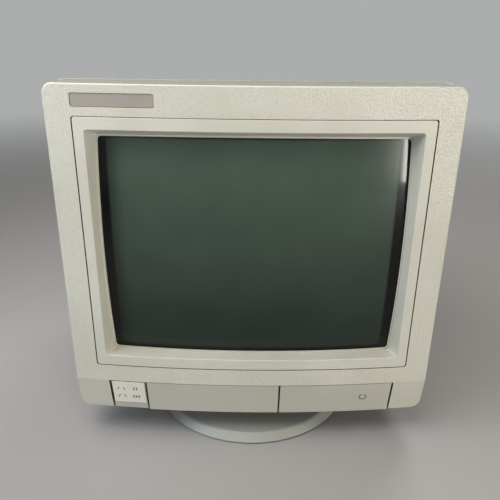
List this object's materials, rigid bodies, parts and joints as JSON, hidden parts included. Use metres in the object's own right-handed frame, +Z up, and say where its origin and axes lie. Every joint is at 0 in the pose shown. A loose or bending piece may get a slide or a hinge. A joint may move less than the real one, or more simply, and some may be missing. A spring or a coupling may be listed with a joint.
{
  "type": "computer terminal",
  "caption": "Desktop display terminal with a CRT in a bowed bezel, on a round tilt and swivel base, with a power button and thumbwheels.",
  "frame": {"origin": "centre of the bounding box on the desk", "axes": "+X right seen from the front, +Y towards the back, +Z up; the screen faces -Y"},
  "size_m": [0.3366, 0.32, 0.3414],
  "materials": {
    "base_disc": "moulded plastic",
    "rubber_feet": "rubber",
    "bowl_pads": "nylon pads",
    "pivot_bolt": "zinc plated",
    "stop_washer": "zinc plated",
    "saddle_washer": "zinc plated",
    "wave_washer": "spring steel",
    "lock_nut": "zinc plated",
    "front_bezel": "fine moulded grain",
    "screen_surround": "smooth moulded",
    "name_plate": "bare plate",
    "blank_panel": "fine moulded grain",
    "control_panel": "fine moulded grain",
    "control_label": "smooth",
    "power_switch": "phenolic",
    "switch_screws": "zinc plated",
    "control_pots": "moulded",
    "control_board": "circuit board",
    "crt_faceplate": "tinted glass over phosphor",
    "crt_funnel": "glass with dark coating",
    "crt_rim_band": "tension band",
    "crt_screws": "zinc plated",
    "electron_gun": "formed sheet",
    "crt_base": "glass stem",
    "crt_socket": "moulded",
    "neck_board": "circuit board",
    "deflection_yoke": "enamelled copper on plastic",
    "yoke_core": "ferrite",
    "yoke_clamp": "moulded",
    "centring_rings": "magnet rings",
    "anode_cap": "silicone",
    "anode_lead": "insulated lead",
    "rear_housing": "fine moulded grain",
    "housing_screws": "zinc plated",
    "tilt_dome": "smooth moulded",
    "dome_screws": "zinc plated",
    "chassis_tray": "zinc plated sheet",
    "tray_screws": "zinc plated",
    "main_board": "circuit board",
    "board_screws": "zinc plated",
    "logic_chips": "moulded packages",
    "board_capacitors": "sleeved cans",
    "beeper": "moulded",
    "power_board": "circuit board",
    "flyback_transformer": "potted block and ferrite",
    "power_transformer": "taped coil and ferrite",
    "heat_sink": "extruded",
    "filter_capacitors": "sleeved cans",
    "connector_plate": "zinc plated sheet",
    "host_port": "plated shell",
    "printer_port": "plated shell",
    "jack_screws": "plated",
    "power_inlet": "moulded",
    "keyboard_jack": "moulded",
    "power_button": "fine moulded grain",
    "push_rod": "moulded",
    "button_spring": "spring wire",
    "brightness_wheel": "moulded",
    "contrast_wheel": "moulded"
  },
  "bodies": {
    "base": {"base_disc": "base_disc", "rubber_feet": "rubber_feet", "bowl_pads": "bowl_pads"},
    "swivel": {"pivot_bolt": "pivot_bolt", "stop_washer": "stop_washer", "saddle_washer": "saddle_washer", "wave_washer": "wave_washer", "lock_nut": "lock_nut"},
    "head": {"front_bezel": "front_bezel", "screen_surround": "screen_surround", "name_plate": "name_plate", "blank_panel": "blank_panel", "control_panel": "control_panel", "control_label": "control_label", "power_switch": "power_switch", "switch_screws": "switch_screws", "control_pots": "control_pots", "control_board": "control_board", "crt_faceplate": "crt_faceplate", "crt_funnel": "crt_funnel", "crt_rim_band": "crt_rim_band", "crt_screws": "crt_screws", "electron_gun": "electron_gun", "crt_base": "crt_base", "crt_socket": "crt_socket", "neck_board": "neck_board", "deflection_yoke": "deflection_yoke", "yoke_core": "yoke_core", "yoke_clamp": "yoke_clamp", "centring_rings": "centring_rings", "anode_cap": "anode_cap", "anode_lead": "anode_lead", "rear_housing": "rear_housing", "housing_screws": "housing_screws", "tilt_dome": "tilt_dome", "dome_screws": "dome_screws", "chassis_tray": "chassis_tray", "tray_screws": "tray_screws", "main_board": "main_board", "board_screws": "board_screws", "logic_chips": "logic_chips", "board_capacitors": "board_capacitors", "beeper": "beeper", "power_board": "power_board", "flyback_transformer": "flyback_transformer", "power_transformer": "power_transformer", "heat_sink": "heat_sink", "filter_capacitors": "filter_capacitors", "connector_plate": "connector_plate", "host_port": "host_port", "printer_port": "printer_port", "jack_screws": "jack_screws", "power_inlet": "power_inlet", "keyboard_jack": "keyboard_jack"},
    "button": {"power_button": "power_button", "push_rod": "push_rod", "button_spring": "button_spring"},
    "brightness_knob": {"brightness_wheel": "brightness_wheel"},
    "contrast_knob": {"contrast_wheel": "contrast_wheel"}
  },
  "joints": [
    {"name": "swivel_turn", "type": "hinge", "parent": "base", "child": "swivel", "pos_m": [0, -0.0553, 0], "axis": [0, 0, 1], "range_deg": [-90, 90]},
    {"name": "tilt", "type": "hinge", "parent": "swivel", "child": "head", "pos_m": [0, -0.0553, 0.13], "axis": [-1, 0, 0], "range_deg": [-5, 15]},
    {"name": "power_button_press", "type": "slide", "parent": "head", "child": "button", "axis": [0, 1, 0], "range_m": [0, 0.003], "stiffness_N_per_m": 500, "springref_m": -0.002, "deforming": ["button_spring"]},
    {"name": "brightness_turn", "type": "hinge", "parent": "head", "child": "brightness_knob", "pos_m": [-0.1245, -0.13397, 0.044], "axis": [1, 0, 0], "range_deg": [-135, 135]},
    {"name": "contrast_turn", "type": "hinge", "parent": "head", "child": "contrast_knob", "pos_m": [-0.111, -0.13397, 0.044], "axis": [1, 0, 0], "range_deg": [-135, 135]}
  ]
}
